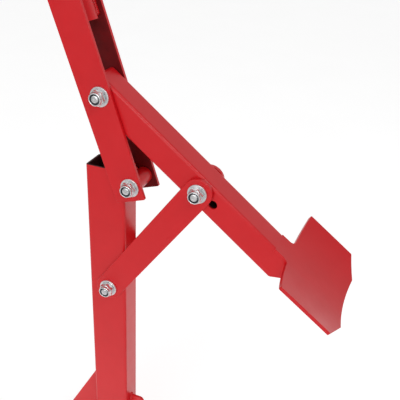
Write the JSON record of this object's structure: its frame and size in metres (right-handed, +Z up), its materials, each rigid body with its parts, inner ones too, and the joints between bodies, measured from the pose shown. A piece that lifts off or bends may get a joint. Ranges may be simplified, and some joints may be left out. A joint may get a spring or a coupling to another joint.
{
  "type": "tyre bead breaker",
  "caption": "Lever-operated tyre bead breaker: a welded tube stand carries a hand lever, a pair of links and a tube arm whose curved shoe pushes a tyre bead off its rim.",
  "frame": {"origin": "on the floor, under the middle of the post", "axes": "+Z up, +X from the post towards the tyre and the shoe, +Y from the nut side of the pivot bolts to their heads"},
  "size_m": [0.8837, 0.406, 1.337],
  "materials": {
    "red_powder_coat": "glossy signal-red powder coat with slight orange peel",
    "zinc_bolt": "bright zinc-plated steel",
    "zinc_nut": "bright zinc-plated steel, rolled collar",
    "zinc_washer": "bright zinc-plated steel, stamped",
    "rivet": "satin aluminium",
    "nylon": "black nylon",
    "bush_steel": "turned steel, greased",
    "foot_rubber": "moulded black rubber",
    "pad_rubber": "ribbed black rubber",
    "grip_rubber": "soft black rubber with finger rings",
    "cap_plastic": "black polyethylene"
  },
  "bodies": {
    "stand": {"foot_bolts": "zinc_bolt", "foot_nuts": "zinc_nut", "foot_plate": "red_powder_coat", "foot_sheet": "foot_rubber", "foot_washers": "zinc_washer", "front_cross_tube": "red_powder_coat", "link_bush": "bush_steel", "pad_rivets": "rivet", "pivot_sleeve": "red_powder_coat", "post_tube": "red_powder_coat", "rear_gusset": "red_powder_coat", "rest_cross_tube": "red_powder_coat", "rest_pads": "pad_rubber", "rubber_feet": "foot_rubber", "spine_tube_front": "red_powder_coat", "spine_tube_post": "red_powder_coat", "tube_end_caps": "cap_plastic", "tyre_side_gusset": "red_powder_coat"},
    "lever": {"lever_plate_nut_side": "red_powder_coat", "lever_plate_head_side": "red_powder_coat", "handle_socket": "red_powder_coat", "handle_bar": "red_powder_coat", "handle_grip": "grip_rubber", "socket_bolt": "zinc_bolt", "socket_nut": "zinc_nut", "socket_washers": "zinc_washer", "pivot_bolt_a": "zinc_bolt", "head_washer_a": "zinc_washer", "nut_washer_a": "zinc_washer", "lock_nut_a": "zinc_nut", "nut_insert_a": "nylon", "pivot_bolt_b": "zinc_bolt", "head_washer_b": "zinc_washer", "nut_washer_b": "zinc_washer", "lock_nut_b": "zinc_nut", "nut_insert_b": "nylon"},
    "links": {"link_nut_side": "red_powder_coat", "link_head_side": "red_powder_coat", "pivot_bolt_c": "zinc_bolt", "head_washer_c": "zinc_washer", "nut_washer_c": "zinc_washer", "lock_nut_c": "zinc_nut", "nut_insert_c": "nylon", "pivot_bolt_d": "zinc_bolt", "head_washer_d": "zinc_washer", "nut_washer_d": "zinc_washer", "lock_nut_d": "zinc_nut", "nut_insert_d": "nylon"},
    "arm": {"arm_tube": "red_powder_coat", "arm_bush": "bush_steel", "shoe": "red_powder_coat"}
  },
  "joints": [
    {"name": "lever_hinge", "type": "hinge", "parent": "stand", "child": "lever", "pos_m": [0.042, 0, 0.5824], "axis": [0, 1, 0], "range_deg": [-10, 60]},
    {"name": "link_hinge", "type": "hinge", "parent": "stand", "child": "links", "pos_m": [0.0052, 0, 0.4019], "axis": [0, 1, 0], "range_deg": [-3.9, 23.4]},
    {"name": "arm_hinge", "type": "hinge", "parent": "links", "child": "arm", "pos_m": [0.13979, 0, 0.59702], "axis": [0, 1, 0], "range_deg": [-0.6, 3.45]}
  ],
  "couplings": [
    {"joint": "link_hinge", "follows": "lever_hinge", "ratio": 0.3893},
    {"joint": "arm_hinge", "follows": "lever_hinge", "ratio": 0.0566}
  ]
}
